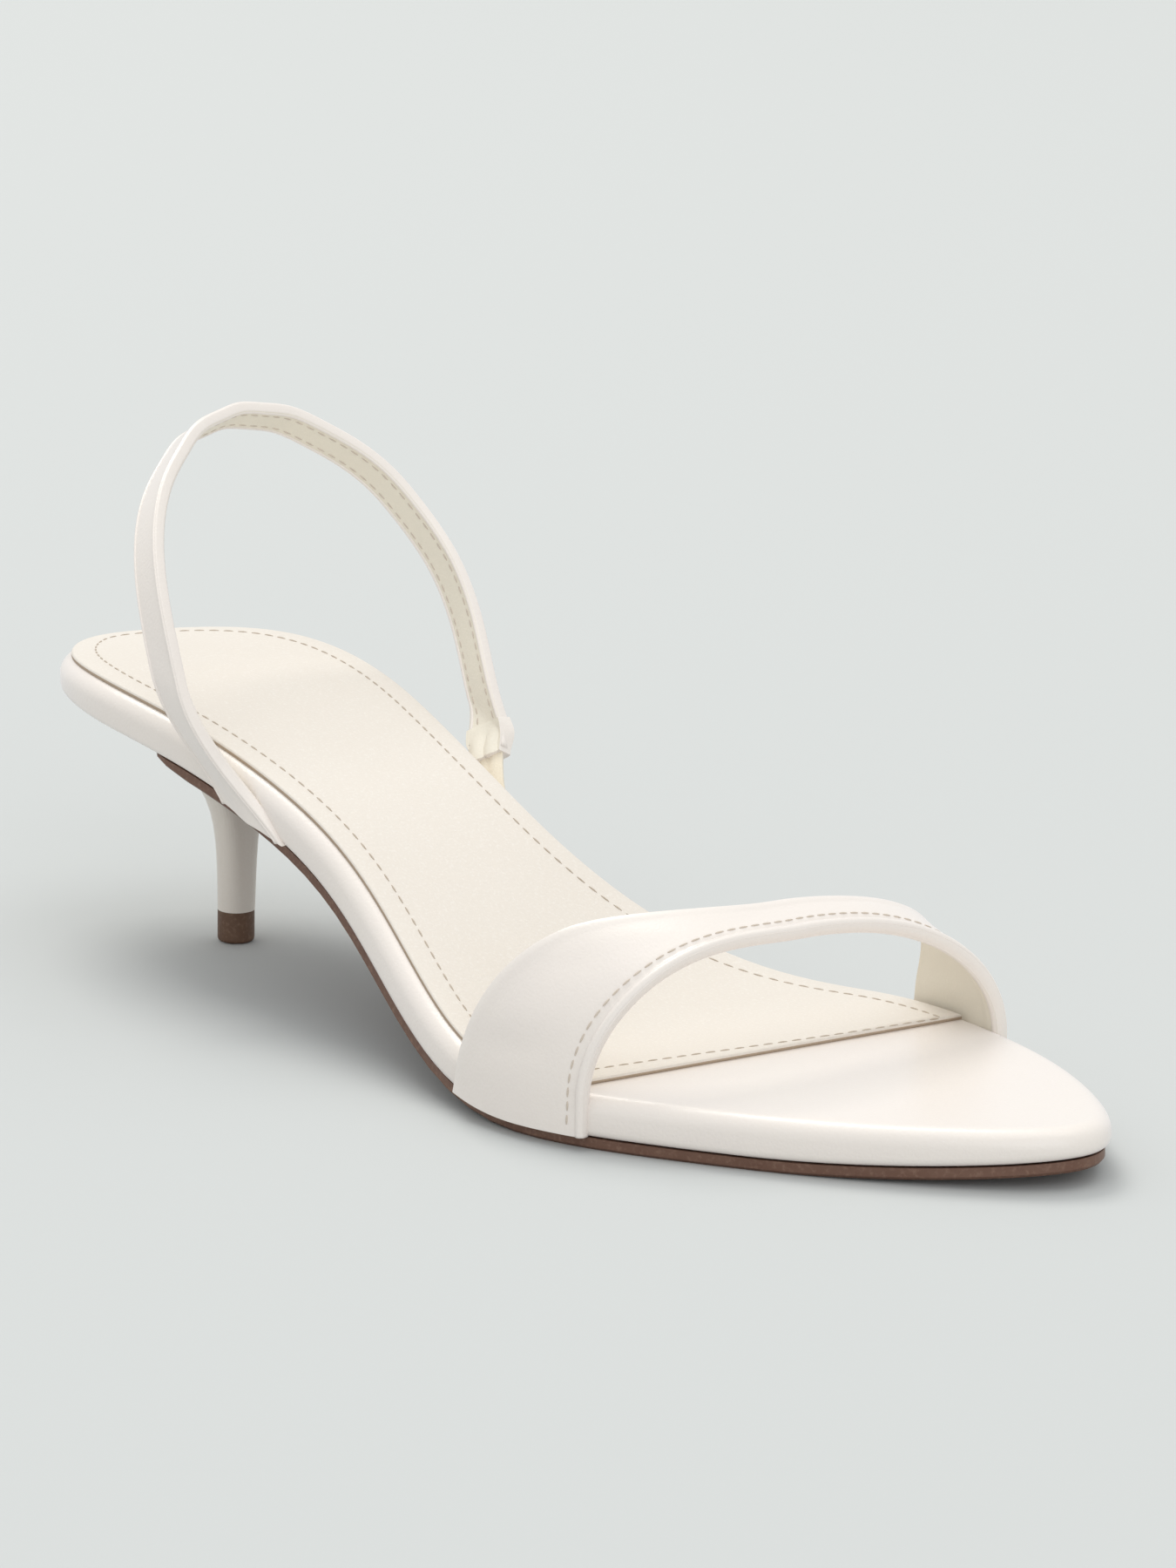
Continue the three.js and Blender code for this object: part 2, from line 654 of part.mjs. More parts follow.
const vampStops = [
  ...[0, 0.049, 0.061, 0.073, 0.085, 0.097, 0.105, 0.12],
  ...Array.from({ length: 33 }, (_, i) => 0.14 + (0.72 * i) / 32),
  ...[0.88, 0.895, 0.903, 0.915, 0.927, 0.939, 0.951, 1],
];
const vampRoom = solidFrom(strapShape(vampSpot(clearance), vampStops, 4, strapThickness + 2 * clearance));
const slingEnd = slingEndShare();
const elasticStart = slingEnd + 0.0015;
const slingRoom = slingShape(0, slingEnd, 40, slingWidth, strapThickness, clearance);
const elasticRoom = slingShape(slingEnd, 1, 8, elasticWidth, elasticThickness, clearance);
const footbed = footbedShape(0).subtract(vampRoom).subtract(slingRoom).subtract(elasticRoom);
const slingStrap = slingShape(0, slingEnd, 44, slingWidth, strapThickness, 0).subtract(underShape());
const elastic = slingShape(elasticStart, 1, 8, elasticWidth, elasticThickness, 0).subtract(underShape());

addPiece("footbed", geometryFrom(footbed), 0xece6dc, 0.4);
addPiece("vamp_strap", strapShape(vampSpot(0), vampStops, 6, strapThickness), 0xe9e2da, 0.35);
addPiece("sling_strap", geometryFrom(slingStrap), 0xe9e2da, 0.35);
addPiece("elastic", geometryFrom(elastic), 0xe6dcc8, 0.8);
addPiece("outsole", geometryFrom(outsoleShape()), 0x7a4a35, 0.55);
addPiece("sock", geometryFrom(sockShape()), 0xefebe0, 0.7);
addPiece("heel", geometryFrom(heelShape()), 0xd8d0c4, 0.45);
addPiece("heel_tip", tipGeometry(), 0x5e3a20, 0.5);

export default sandal;
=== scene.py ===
import math

import bmesh
import bpy
from mathutils import Matrix, Vector


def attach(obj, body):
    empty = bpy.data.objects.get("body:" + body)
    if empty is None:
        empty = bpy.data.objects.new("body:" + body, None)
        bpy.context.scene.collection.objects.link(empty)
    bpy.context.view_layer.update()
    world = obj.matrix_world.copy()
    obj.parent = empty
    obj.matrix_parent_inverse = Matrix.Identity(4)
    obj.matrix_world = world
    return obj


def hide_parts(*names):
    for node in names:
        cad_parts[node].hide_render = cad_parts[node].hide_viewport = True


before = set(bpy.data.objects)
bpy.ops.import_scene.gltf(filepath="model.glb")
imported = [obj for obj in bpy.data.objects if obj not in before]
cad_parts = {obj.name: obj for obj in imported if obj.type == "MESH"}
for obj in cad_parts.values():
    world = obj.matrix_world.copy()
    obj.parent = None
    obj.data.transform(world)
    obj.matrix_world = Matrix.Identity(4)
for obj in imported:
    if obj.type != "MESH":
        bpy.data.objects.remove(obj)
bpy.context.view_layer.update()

# A slingback sandal on a kitten heel. Sizes are in millimetres until a mesh is finished, when it is
# scaled to metres. +X points to the toe, +Y to the inner side of the foot, +Z up.
toMetres = 0.001
print("frame loaded")


# Small helpers.
def mix(a, b, share):
    return a + (b - a) * share


def clamp(value, low=0.0, high=1.0):
    return max(low, min(high, value))


def ease(value, start, end):  # smooth step from 0 at start to 1 at end
    t = clamp((value - start) / (end - start))
    return t * t * (3 - 2 * t)


def curveThrough(knots, values, flatStart=False, flatEnd=False):
    # smooth curve through a short table; an end that isn't flat is left unbent
    last = len(knots) - 1
    bend, carry = [0.0] * (last + 1), [0.0] * (last + 1)
    step = lambda i: knots[i + 1] - knots[i]
    slope = lambda i: (values[i + 1] - values[i]) / step(i)
    if flatStart:
        bend[0], carry[0] = -0.5, 3 / step(0) * slope(0)
    for i in range(1, last):
        share = step(i - 1) / (step(i - 1) + step(i))
        pivot = share * bend[i - 1] + 2
        bend[i] = (share - 1) / pivot
        turn = 6 * (slope(i) - slope(i - 1)) / (step(i - 1) + step(i))
        carry[i] = (turn - share * carry[i - 1]) / pivot
    endBend, endCarry = (0.5, -3 / step(last - 1) * slope(last - 1)) if flatEnd else (0.0, 0.0)
    bend[last] = (endCarry - endBend * carry[last - 1]) / (endBend * bend[last - 1] + 1)
    for i in range(last - 1, -1, -1):
        bend[i] = bend[i] * bend[i + 1] + carry[i]

    def at(x):
        i = 0
        while i < last - 1 and x > knots[i + 1]:
            i += 1
        b = (x - knots[i]) / step(i)
        a = 1 - b
        bent = (a**3 - a) * bend[i] + (b**3 - b) * bend[i + 1]
        return a * values[i] + b * values[i + 1] + bent * step(i) ** 2 / 6

    return at


# The last.
last = {
    "length": 236, "ballWidth": 82, "seatWidth": 53.5, "seatHeight": 48, "toeInward": 9.5,
    "toeSpring": 3.2, "treadStart": 158, "treadEnd": 192, "heelSetback": 39.6,
    "footbedThickness": 6.8, "toeThinning": 1.9, "seatThinning": 1.2, "outsoleThickness": 2, "gap": 0.3,
    # place along the foot, outer and inner half-width as shares of the guide width
    "outline": [
        (0.02, 0.205, 0.21), (0.07, 0.385, 0.405), (0.15, 0.495, 0.502), (0.25, 0.499, 0.444),
        (0.35, 0.451, 0.298), (0.44, 0.42, 0.24), (0.52, 0.443, 0.289), (0.6, 0.488, 0.406),
        (0.68, 0.498, 0.5), (0.77, 0.421, 0.488), (0.86, 0.311, 0.394), (0.94, 0.188, 0.238),
        (0.985, 0.092, 0.106),
    ],
    # place along the foot, share of the climb from the tread to the seat
    "arch": [
        (0, 1), (0.1, 1.042), (0.2, 0.99), (0.3, 0.865), (0.4, 0.657), (0.47, 0.429), (0.54, 0.19),
        (0.61, 0.034),
    ],
}
footLength = last["length"]
soleStack = last["footbedThickness"] + last["gap"] + last["outsoleThickness"]
archClimb = last["seatHeight"] - soleStack


def angleAt(along):
    return math.acos(1 - 2 * clamp(along))


def guideWidth(along):
    return mix(last["seatWidth"], last["ballWidth"], ease(along, 0.2, 0.6))


outlineKnots = [0] + [angleAt(row[0]) for row in last["outline"]] + [math.pi]
halfWidths = {
    "outer": curveThrough(outlineKnots, [0] + [row[1] * guideWidth(row[0]) for row in last["outline"]] + [0]),
    "inner": curveThrough(outlineKnots, [0] + [row[2] * guideWidth(row[0]) for row in last["outline"]] + [0]),
}
archCurve = curveThrough(
    [row[0] * footLength for row in last["arch"]] + [last["treadStart"]],
    [soleStack + row[1] * archClimb for row in last["arch"]] + [soleStack],
    flatEnd=True,
)


def edgeAt(x, side):  # edge of the footbed seen from above
    along = clamp(x / footLength)
    centre = last["toeInward"] * clamp((along - 0.6) / 0.4) ** 2
    half = max(halfWidths[side](angleAt(along)), 0)
    return centre - half if side == "outer" else centre + half


def toeShare(x):
    return max(x - last["treadEnd"], 0) / (footLength - last["treadEnd"])


def thicknessAt(x):
    seatShare = 1 - ease(x / footLength, 0, 0.15)
    return last["footbedThickness"] - last["toeThinning"] * toeShare(x) ** 2 - last["seatThinning"] * seatShare


def topAt(x):
    if x < last["treadStart"]:
        return archCurve(x)
    return soleStack + (last["toeSpring"] - last["toeThinning"]) * toeShare(x) ** 2


def slopeAt(x):  # climb of the footbed's top for each millimetre ahead
    return topAt(x + 0.5) - topAt(x - 0.5)


def solePoint(x, y, depth):  # a point at a depth under the footbed's top, square to its profile
    slope = slopeAt(x)
    size = math.hypot(1, slope)
    return Vector((x + slope / size * depth - last["heelSetback"], y, topAt(x) - depth / size))


rimStep = 0.002  # share of the way along over which the outline's direction is taken
skewRun = 60  # length ahead of a slanted front edge in which the slant grows


def rimPoint(share, side, inset, end=1.0, skew=0.0):
    # point of the outline at a share of the way along to its end, moved in square to the outline
    def plain(s):
        place = footLength * (1 - math.cos(angleAt(end) * s)) / 2
        lean = skew * ease(place, end * footLength - skewRun, end * footLength)
        y = edgeAt(place, side)
        for turn in range(3):
            y = edgeAt(place + lean * y, side)
        return Vector((place + lean * y, y))

    here = plain(share)
    tangent = (plain(min(share + rimStep, 1)) - plain(max(share - rimStep, 0))).normalized()
    if share < rimStep:
        tangent = Vector((0, -1 if side == "outer" else 1))
    if end == 1 and share > 1 - rimStep:
        tangent = Vector((0, 1 if side == "outer" else -1))
    inward = Vector((-tangent.y, tangent.x)) if side == "outer" else Vector((tangent.y, -tangent.x))
    return here + inward * inset


# Mesh helpers.
mergeDistance = 0.01


def finishMesh(bm, name, materials):
    bmesh.ops.remove_doubles(bm, verts=bm.verts, dist=mergeDistance)
    bmesh.ops.recalc_face_normals(bm, faces=bm.faces)
    return meshObject(bm, name, materials)


def meshObject(bm, name, materials):  # the mesh, made in millimetres, becomes an object in metres
    bmesh.ops.scale(bm, vec=(toMetres,) * 3, verts=bm.verts)
    mesh = bpy.data.meshes.new(name)
    bm.to_mesh(mesh)
    bm.free()
    for material in materials:
        mesh.materials.append(material)
    for face in mesh.polygons:
        face.use_smooth = True
    piece = bpy.data.objects.new(name, mesh)
    bpy.context.scene.collection.objects.link(piece)
    return piece


def addGrid(bm, across, around, place):
    # a grid whose points are moved to place(u, v), with u and v from 0 to 1, and kept as its UVs
    uvLayer = bm.loops.layers.uv.verify()
    made = bmesh.ops.create_grid(bm, x_segments=across, y_segments=around, size=1)
    spots = {}
    for vert in made["verts"]:
        u, v = (vert.co.x + 1) / 2, (vert.co.y + 1) / 2
        spots[vert] = (u, v)
        vert.co = place(u, v)
    for face in {face for vert in made["verts"] for face in vert.link_faces}:
        for loop in face.loops:
            loop[uvLayer].uv = spots[loop.vert]
    return spots


def layerPiece(name, materials, rings, along=110, across=16, edgeRing=None):
    # a closed layer of the sole: a top grid, its rim extruded ring by ring, and a grid underneath
    bm = bmesh.new()

    def at(ring, u, v):
        plan = ring["rim"](u, "outer").lerp(ring["rim"](u, "inner"), v)
        return solePoint(plan.x, plan.y, ring["depth"](plan.x))

    spots = addGrid(bm, along, across, lambda u, v: at(rings[0], u, v))
    rim = [edge for edge in bm.edges if edge.is_boundary]
    for number, ring in enumerate(rings[1:], 1):
        order = {vert: spots[vert] for edge in rim for vert in edge.verts}
        pairs = {tuple(round(c, 5) for c in vert.co): spot for vert, spot in order.items()}
        made = bmesh.ops.extrude_edge_only(bm, edges=rim)["geom"]
        fresh = [item for item in made if isinstance(item, bmesh.types.BMVert)]
        spots = {vert: pairs[tuple(round(c, 5) for c in vert.co)] for vert in fresh}
        for vert in fresh:
            vert.co = at(ring, *spots[vert])
        if number == edgeRing:
            for face in {item for item in made if isinstance(item, bmesh.types.BMFace)}:
                face.material_index = 1
        rim = [item for item in made if isinstance(item, bmesh.types.BMEdge)]
        rim = [edge for edge in rim if edge.is_boundary and all(vert in spots for vert in edge.verts)]
    addGrid(bm, along, across, lambda u, v: at(rings[-1], u, v))
    return finishMesh(bm, name, materials)


def bandPiece(name, materials, spot, segments, across, thickness, edgeRound):
    # a strap: a grid along a path, thickened both ways, with rounded edges; its materials are those of
    # its face, its lining and its rim
    bm = bmesh.new()
    addGrid(bm, segments, across, lambda u, v: spot(u, 2 * v - 1))
    bmesh.ops.reverse_faces(bm, faces=bm.faces)
    piece = meshObject(bm, name, materials)
    shell = piece.modifiers.new("thickness", "SOLIDIFY")
    shell.thickness = thickness * toMetres
    shell.offset = 0
    shell.use_even_offset = True
    shell.material_offset = 1
    shell.material_offset_rim = 2
    edge = piece.modifiers.new("rounded edges", "BEVEL")
    edge.width = edgeRound * toMetres
    edge.segments = 4
    edge.limit_method = "ANGLE"
    edge.angle_limit = math.radians(50)
    edge.harden_normals = False
    return piece


frameStep = {"along": 0.003, "across": 0.05}  # shares of a band over which its directions are taken


def bandFrame(spot, u, v):
    # a place on a band with its directions across the band and out of its face
    ahead, behind = spot(min(u + frameStep["along"], 1), v), spot(max(u - frameStep["along"], 0), v)
    across = spot(u, min(v + frameStep["across"], 1)) - spot(u, max(v - frameStep["across"], -1))
    return spot(u, v), across.normalized(), across.cross(ahead - behind).normalized()


def rolledEdge(name, material, spot, place, halfAcross, halfOut, segments):
    # an oval roll along a band, at place(u) across it
    bm = bmesh.new()

    def at(u, v):
        middle, across, out = bandFrame(spot, u, place(u))
        turn = 2 * math.pi * v
        return middle + across * (halfAcross * math.cos(turn)) + out * (halfOut * math.sin(turn))

    addGrid(bm, segments, 14, at)
    bmesh.ops.remove_doubles(bm, verts=bm.verts, dist=mergeDistance)
    bmesh.ops.holes_fill(bm, edges=[edge for edge in bm.edges if edge.is_boundary], sides=0)
    return finishMesh(bm, name, [material])


def walk(path, pitch, start=0.0, end=1.0, steps=900):
    # places at an even pitch along path(t), with the direction there
    points = [path(mix(start, end, i / steps)) for i in range(steps + 1)]
    places, travelled, wanted = [], 0.0, pitch / 2
    for before, after in zip(points, points[1:]):
        run = (after - before).length
        while run > 0 and travelled + run >= wanted:
            places.append((before.lerp(after, (wanted - travelled) / run), (after - before).normalized()))
            wanted += pitch
        travelled += run
    return places


def stitchRow(name, material, path, up, thread, start=0.0, end=1.0):
    # a row of sewn stitches: one small rounded bead of thread for each
    bm = bmesh.new()
    lying = Matrix.Rotation(math.pi / 2, 4, "Y")
    for place, along in walk(path, thread["pitch"], start, end):
        out = up(place)
        side = out.cross(along).normalized()
        out = along.cross(side).normalized()
        turn = Matrix((along, side, out)).transposed().to_4x4()
        turn.translation = place + out * thread["lift"]
        size = Matrix.Diagonal((thread["length"] / 2, thread["width"] / 2, thread["width"] / 2, 1))
        bmesh.ops.create_uvsphere(bm, u_segments=6, v_segments=5, radius=1, matrix=turn @ size @ lying)
    return meshObject(bm, name, [material])


# Shared material effects.
def newGroup(name, inputs, outputs):
    group = bpy.data.node_groups.new(name, "ShaderNodeTree")
    for label, value in inputs.items():
        socket = group.interface.new_socket(label, in_out="INPUT", socket_type="NodeSocketFloat")
        socket.default_value = value
    for label in outputs:
        group.interface.new_socket(label, in_out="OUTPUT", socket_type="NodeSocketFloat")
    return group, group.nodes.new("NodeGroupInput"), group.nodes.new("NodeGroupOutput")


def leatherGrainGroup():
    # fine pebbled grain with a slow unevenness under it
    group, source, target = newGroup("leatherGrain", {"Cell": 1500.0, "Unevenness": 0.35}, ["Height", "Patch"])
    nodes, links = group.nodes, group.links
    where = nodes.new("ShaderNodeTexCoord")
    warp = nodes.new("ShaderNodeTexNoise")
    warp.inputs["Scale"].default_value = 420
    warp.inputs["Detail"].default_value = 2
    links.new(where.outputs["Object"], warp.inputs["Vector"])
    push = nodes.new("ShaderNodeMixRGB")
    push.blend_type = "LINEAR_LIGHT"
    push.inputs["Fac"].default_value = 0.0009
    links.new(where.outputs["Object"], push.inputs["Color1"])
    links.new(warp.outputs["Color"], push.inputs["Color2"])
    cells = nodes.new("ShaderNodeTexVoronoi")
    cells.feature = "SMOOTH_F1"
    cells.inputs["Smoothness"].default_value = 0.6
    links.new(push.outputs["Color"], cells.inputs["Vector"])
    links.new(source.outputs["Cell"], cells.inputs["Scale"])
    patch = nodes.new("ShaderNodeTexNoise")
    patch.inputs["Scale"].default_value = 34
    patch.inputs["Detail"].default_value = 5
    patch.inputs["Roughness"].default_value = 0.6
    links.new(where.outputs["Object"], patch.inputs["Vector"])
    scaled = nodes.new("ShaderNodeMath")
    scaled.operation = "MULTIPLY"
    links.new(patch.outputs["Fac"], scaled.inputs[0])
    links.new(source.outputs["Unevenness"], scaled.inputs[1])
    total = nodes.new("ShaderNodeMath")
    total.operation = "ADD"
    links.new(cells.outputs["Distance"], total.inputs[0])
    links.new(scaled.outputs[0], total.inputs[1])
    links.new(total.outputs[0], target.inputs["Height"])
    links.new(patch.outputs["Fac"], target.inputs["Patch"])
    return group


def speckleGroup():
    # scattered fine marks, such as fibre ends or dust
    group, source, target = newGroup("speckle", {"Size": 2600.0, "Amount": 0.35}, ["Mask"])
    nodes, links = group.nodes, group.links
    where = nodes.new("ShaderNodeTexCoord")
    noise = nodes.new("ShaderNodeTexNoise")
    noise.inputs["Detail"].default_value = 3
    links.new(where.outputs["Object"], noise.inputs["Vector"])
    links.new(source.outputs["Size"], noise.inputs["Scale"])
    ramp = nodes.new("ShaderNodeMapRange")
    ramp.inputs["From Min"].default_value = 0.52
    ramp.inputs["From Max"].default_value = 0.72
    links.new(noise.outputs["Fac"], ramp.inputs["Value"])
    scaled = nodes.new("ShaderNodeMath")
    scaled.operation = "MULTIPLY"
    links.new(ramp.outputs["Result"], scaled.inputs[0])
    links.new(source.outputs["Amount"], scaled.inputs[1])
    links.new(scaled.outputs[0], target.inputs["Mask"])
    return group


def edgeWearGroup():
    # raised edges that handling has rubbed, broken up by noise
    group, source, target = newGroup("edgeWear", {"Amount": 0.4, "Scale": 260.0}, ["Mask"])
    nodes, links = group.nodes, group.links
    shape = nodes.new("ShaderNodeNewGeometry")
    high = nodes.new("ShaderNodeMapRange")
    high.inputs["From Min"].default_value = 0.52
    high.inputs["From Max"].default_value = 0.62
    links.new(shape.outputs["Pointiness"], high.inputs["Value"])
    where = nodes.new("ShaderNodeTexCoord")
    noise = nodes.new("ShaderNodeTexNoise")
    noise.inputs["Detail"].default_value = 6
    links.new(where.outputs["Object"], noise.inputs["Vector"])
    links.new(source.outputs["Scale"], noise.inputs["Scale"])
    broken = nodes.new("ShaderNodeMath")
    broken.operation = "MULTIPLY"
    links.new(high.outputs["Result"], broken.inputs[0])
    links.new(noise.outputs["Fac"], broken.inputs[1])
    scaled = nodes.new("ShaderNodeMath")
    scaled.operation = "MULTIPLY"
    links.new(broken.outputs[0], scaled.inputs[0])
    links.new(source.outputs["Amount"], scaled.inputs[1])
    links.new(scaled.outputs[0], target.inputs["Mask"])
    return group


grainGroup = leatherGrainGroup()
speckle = speckleGroup()
edgeWear = edgeWearGroup()


def useGroup(nodes, group, **values):
    node = nodes.new("ShaderNodeGroup")
    node.node_tree = group
    for label, value in values.items():
        node.inputs[label].default_value = value
    return node


def leatherMaterial(name, finish):
    # coloured leather: grain in the bump, slow patches in colour and gloss, rubbed edges
    material = bpy.data.materials.new(name)
    material.use_nodes = True
    nodes, links = material.node_tree.nodes, material.node_tree.links
    shader = nodes["Principled BSDF"]
    grain = useGroup(nodes, grainGroup, Cell=finish["cell"], Unevenness=finish["unevenness"])
    dots = useGroup(nodes, speckle, Size=finish["dotSize"], Amount=finish["dots"])
    rubbed = useGroup(nodes, edgeWear, Amount=finish["rub"])
    tint = nodes.new("ShaderNodeMixRGB")
    tint.inputs["Color1"].default_value = finish["color"] + (1,)
    tint.inputs["Color2"].default_value = finish["patchColor"] + (1,)
    links.new(grain.outputs["Patch"], tint.inputs["Fac"])
    spotted = nodes.new("ShaderNodeMixRGB")
    spotted.inputs["Color2"].default_value = finish["dotColor"] + (1,)
    links.new(dots.outputs["Mask"], spotted.inputs["Fac"])
    links.new(tint.outputs["Color"], spotted.inputs["Color1"])
    worn = nodes.new("ShaderNodeMixRGB")
    worn.inputs["Color2"].default_value = finish["rubColor"] + (1,)
    links.new(rubbed.outputs["Mask"], worn.inputs["Fac"])
    links.new(spotted.outputs["Color"], worn.inputs["Color1"])
    links.new(worn.outputs["Color"], shader.inputs["Base Color"])
    gloss = nodes.new("ShaderNodeMapRange")
    gloss.inputs["To Min"].default_value = finish["roughness"][0]
    gloss.inputs["To Max"].default_value = finish["roughness"][1]
    links.new(grain.outputs["Patch"], gloss.inputs["Value"])
    links.new(gloss.outputs["Result"], shader.inputs["Roughness"])
    bump = nodes.new("ShaderNodeBump")
    bump.inputs["Strength"].default_value = finish["bump"]
    bump.inputs["Distance"].default_value = 0.0001
    links.new(grain.outputs["Height"], bump.inputs["Height"])
    links.new(bump.outputs["Normal"], shader.inputs["Normal"])
    shader.inputs["Specular IOR Level"].default_value = finish.get("specular", 0.5)
    shader.inputs["Sheen Weight"].default_value = finish.get("sheen", 0)
    shader.inputs["Sheen Roughness"].default_value = 0.45
    shader.inputs["Sheen Tint"].default_value = finish.get("sheenTint", (1, 1, 1)) + (1,)
    shader.inputs["Coat Weight"].default_value = finish.get("coat", 0)
    shader.inputs["Coat Roughness"].default_value = finish.get("coatRoughness", 0.3)
    return material


finishes = {
    "pearlLeather": {
        "color": (0.82, 0.76, 0.695), "patchColor": (0.785, 0.72, 0.68),
        "dotColor": (0.9, 0.88, 0.87), "rubColor": (0.9, 0.86, 0.8),
        "cell": 1700.0, "unevenness": 0.5, "dotSize": 3200.0, "dots": 0.12, "rub": 0.25,
        "roughness": (0.26, 0.4), "bump": 0.3, "sheen": 0.3, "sheenTint": (0.94, 0.9, 0.95),
        "coat": 0.25, "coatRoughness": 0.28,
    },
    "creamLining": {
        "color": (0.8, 0.75, 0.645), "patchColor": (0.77, 0.715, 0.605),
        "dotColor": (0.86, 0.81, 0.7), "rubColor": (0.84, 0.79, 0.69),
        "cell": 1900.0, "unevenness": 0.4, "dotSize": 2400.0, "dots": 0.25, "rub": 0.1,
        "roughness": (0.5, 0.66), "bump": 0.3, "sheen": 0.1,
    },
    "sockLining": {
        "color": (0.745, 0.69, 0.625), "patchColor": (0.715, 0.655, 0.585),
        "dotColor": (0.86, 0.83, 0.79), "rubColor": (0.84, 0.8, 0.74),
        "cell": 1500.0, "unevenness": 0.3, "dotSize": 2000.0, "dots": 0.3, "rub": 0.1,
        "roughness": (0.52, 0.68), "bump": 0.35, "sheen": 0.12,
    },
    "heelCover": {
        "color": (0.76, 0.695, 0.625), "patchColor": (0.72, 0.655, 0.59),
        "dotColor": (0.8, 0.77, 0.74), "rubColor": (0.8, 0.77, 0.72),
        "cell": 1600.0, "unevenness": 0.4, "dotSize": 2600.0, "dots": 0.2, "rub": 0.3,
        "roughness": (0.34, 0.5), "bump": 0.3, "sheen": 0.12, "coat": 0.1,
    },
    "outsoleBrown": {
        "color": (0.125, 0.052, 0.03), "patchColor": (0.09, 0.036, 0.02),
        "dotColor": (0.32, 0.2, 0.14), "rubColor": (0.36, 0.23, 0.16),
        "cell": 900.0, "unevenness": 0.8, "dotSize": 1300.0, "dots": 0.3, "rub": 0.5,
        "roughness": (0.42, 0.6), "bump": 0.5,
    },
    "tipRubber": {
        "color": (0.1, 0.044, 0.02), "patchColor": (0.07, 0.029, 0.013),
        "dotColor": (0.24, 0.15, 0.1), "rubColor": (0.3, 0.19, 0.12),
        "cell": 1100.0, "unevenness": 0.7, "dotSize": 1500.0, "dots": 0.4, "rub": 0.6,
        "roughness": (0.45, 0.62), "bump": 0.5,
    },
    "rawEdge": {
        "color": (0.46, 0.36, 0.27), "patchColor": (0.4, 0.3, 0.21),
        "dotColor": (0.6, 0.52, 0.43), "rubColor": (0.6, 0.52, 0.43),
        "cell": 2400.0, "unevenness": 0.5, "dotSize": 3000.0, "dots": 0.3, "rub": 0.1,
        "roughness": (0.6, 0.75), "bump": 0.5,
    },
    "sockThread": {
        "color": (0.5, 0.425, 0.345), "patchColor": (0.45, 0.37, 0.29),
        "dotColor": (0.66, 0.6, 0.53), "rubColor": (0.66, 0.6, 0.53),
        "cell": 3800.0, "unevenness": 0.2, "dotSize": 5200.0, "dots": 0.3, "rub": 0.1,
        "roughness": (0.55, 0.7), "bump": 0.5,
    },
    "thread": {
        "color": (0.58, 0.5, 0.42), "patchColor": (0.58, 0.5, 0.41),
        "dotColor": (0.78, 0.73, 0.66), "rubColor": (0.78, 0.73, 0.66),
        "cell": 3800.0, "unevenness": 0.2, "dotSize": 5200.0, "dots": 0.3, "rub": 0.1,
        "roughness": (0.5, 0.65), "bump": 0.5, "sheen": 0.3,
    },
    "wovenElastic": {
        "color": (0.8, 0.72, 0.58), "patchColor": (0.76, 0.67, 0.52),
        "dotColor": (0.88, 0.83, 0.72), "rubColor": (0.86, 0.8, 0.68),
        "cell": 2600.0, "unevenness": 0.3, "dotSize": 4200.0, "dots": 0.35, "rub": 0.1,
        "roughness": (0.6, 0.75), "bump": 0.6, "sheen": 0.3,
    },
}
materials = {name: leatherMaterial(name, finish) for name, finish in finishes.items()}
strapMaterials = [materials["pearlLeather"], materials["creamLining"], materials["pearlLeather"]]
print("materials made")


# Footbed.
footbedMake = {
    "edgeRadius": 3.0, "underRadius": 1.4, "along": 120, "across": 18,
    "edgeTurns": (0, 11, 22.5, 34, 45, 56, 67.5, 79, 90), "underTurns": (0, 22.5, 45, 67.5, 90),
}


def footbedRings():
    rings = []
    for turn in footbedMake["edgeTurns"]:
        a = math.radians(turn)
        inset = footbedMake["edgeRadius"] * (1 - math.sin(a))
        depth = footbedMake["edgeRadius"] * (1 - math.cos(a))
        rings.append({"rim": lambda u, side, i=inset: rimPoint(u, side, i), "depth": lambda x, d=depth: d})
    for turn in footbedMake["underTurns"]:
        a = math.radians(turn)
        inset = footbedMake["underRadius"] * (1 - math.cos(a))
        lift = footbedMake["underRadius"] * (1 - math.sin(a))
        rings.append({
            "rim": lambda u, side, i=inset: rimPoint(u, side, i),
            "depth": lambda x, up=lift: thicknessAt(x) - up,
        })
    return rings


footbed = layerPiece(
    "wrapped_footbed", [materials["pearlLeather"]], footbedRings(), footbedMake["along"], footbedMake["across"]
)
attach(footbed, "root")
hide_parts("footbed")
print("footbed made")


# Sock.
sockMake = {
    "thickness": 0.9, "inset": 2.2, "front": 172, "skew": 0.17, "edge": 0.4, "edgeTurns": (0, 30, 60, 90),
    "along": 100, "across": 14, "seamInset": 4.3, "seamFront": 2.5, "seamSide": 0.46, "seamStop": 0.999,
}


def sockRim(u, side, inset):
    return rimPoint(u, side, sockMake["inset"] + inset, end=sockMake["front"] / footLength, skew=sockMake["skew"])


def sockRings():
    rings = []
    for turn in sockMake["edgeTurns"]:
        a = math.radians(turn)
        inset = sockMake["edge"] * (1 - math.sin(a))
        depth = sockMake["edge"] * (1 - math.cos(a)) - sockMake["thickness"]
        rings.append({"rim": lambda u, side, i=inset: sockRim(u, side, i), "depth": lambda x, d=depth: d})
    rings.append({"rim": lambda u, side: sockRim(u, side, 0), "depth": lambda x: 0})
    return rings


sock = layerPiece(
    "sock_lining", [materials["sockLining"], materials["rawEdge"]], sockRings(),
    sockMake["along"], sockMake["across"], edgeRing=len(sockMake["edgeTurns"]),
)
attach(sock, "root")
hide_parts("sock")
print("sock made")


